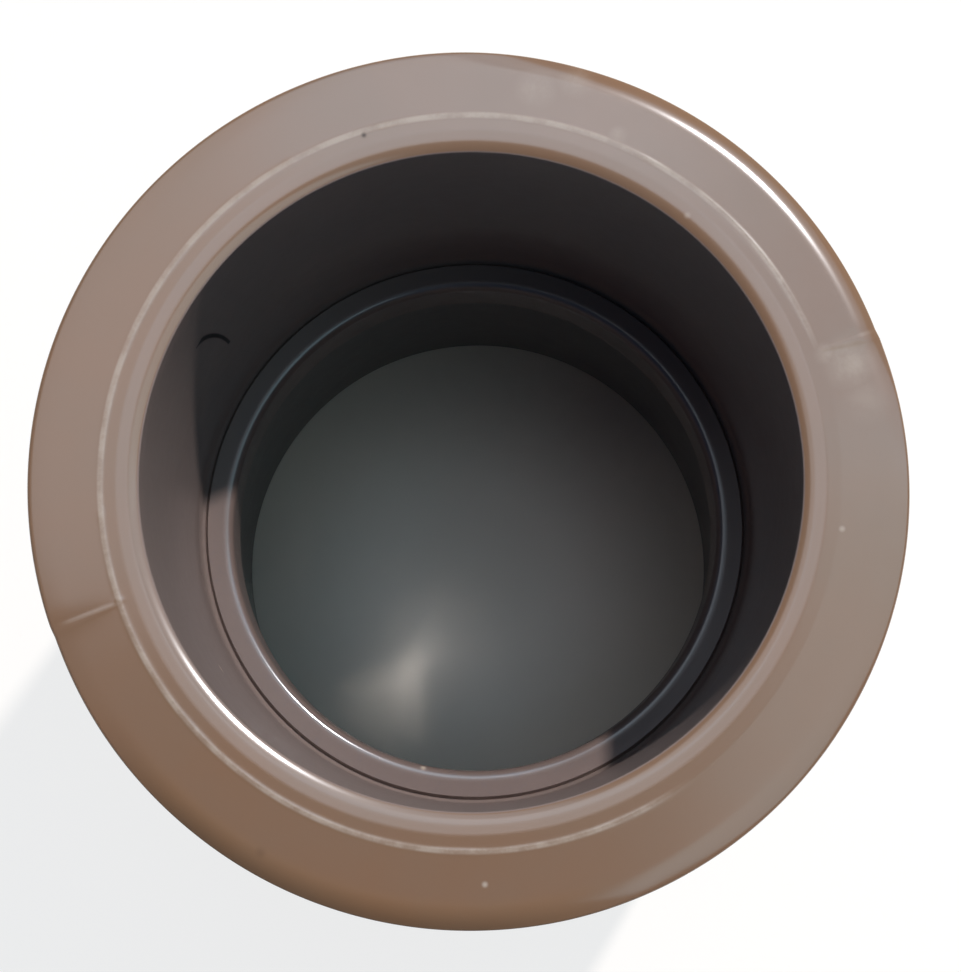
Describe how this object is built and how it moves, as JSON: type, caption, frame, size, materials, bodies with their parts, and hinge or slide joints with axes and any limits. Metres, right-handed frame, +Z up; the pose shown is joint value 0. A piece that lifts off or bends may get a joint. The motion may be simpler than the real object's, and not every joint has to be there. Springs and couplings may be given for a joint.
{
  "type": "pvc pipe coupling",
  "caption": "Straight brown PVC coupling: a short thick-walled sleeve with a pipe socket at each end and a stop ring between them, for solvent-welding two pipes end to end.",
  "frame": {"origin": "middle of the lower end face, on the bore's axis, where the coupling stands on the floor", "axes": "+Z up along the bore, towards the upper socket's mouth; +X and +Y square to it, with the mould's parting plane about 20 degrees from +X"},
  "size_m": [0.034, 0.034, 0.0414],
  "materials": {
    "pvc": "satin, as moulded"
  },
  "bodies": {
    "root": {"coupling": "pvc"}
  },
  "joints": []
}
